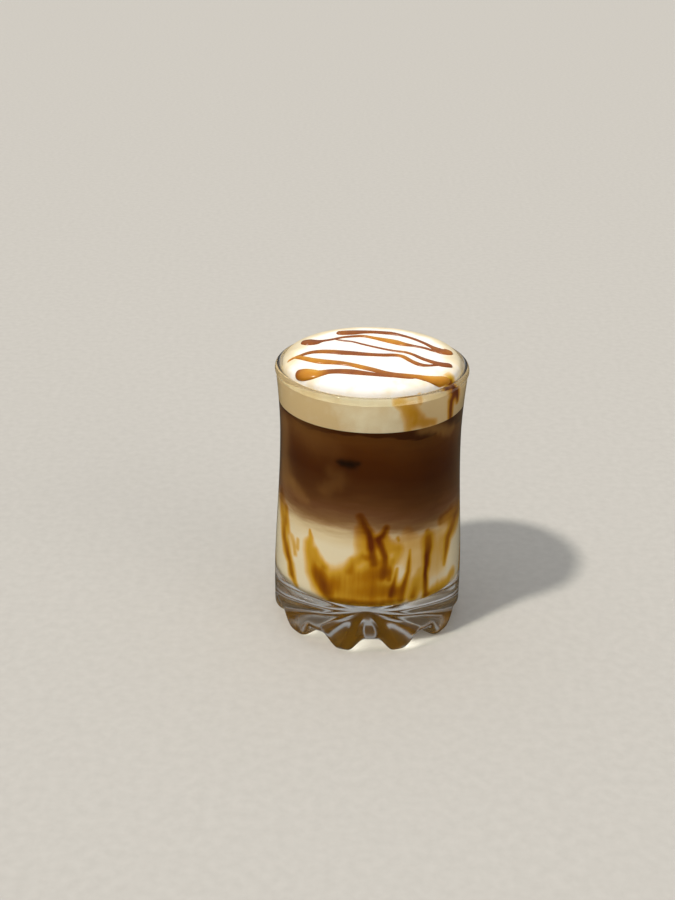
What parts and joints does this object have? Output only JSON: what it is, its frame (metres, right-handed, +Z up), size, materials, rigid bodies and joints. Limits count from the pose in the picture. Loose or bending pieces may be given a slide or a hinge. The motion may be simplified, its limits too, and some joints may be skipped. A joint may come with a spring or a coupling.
{
  "type": "latte in a glass",
  "caption": "Layered latte in a clear pressed tumbler with a petal foot: milk, coffee and a domed cap of milk foam with a caramel drizzle.",
  "frame": {"origin": "centre of the circle on which the toes of the foot stand, in the plane they stand on", "axes": "+Z up along the axis of the glass; -Y towards the viewer of the picture; +X to the viewer's right"},
  "size_m": [0.0772, 0.0772, 0.1166],
  "materials": {
    "clear_glass": "fire-polished clear soda-lime glass",
    "milk": "whole milk seen through the glass, with caramel sauce along the wall",
    "coffee": "dark liquid",
    "foam": "fine milk foam, satin",
    "caramel": "glossy caramel sauce"
  },
  "bodies": {
    "root": {"glass": "clear_glass", "milk": "milk", "coffee": "coffee", "foam": "foam"}
  },
  "joints": []
}
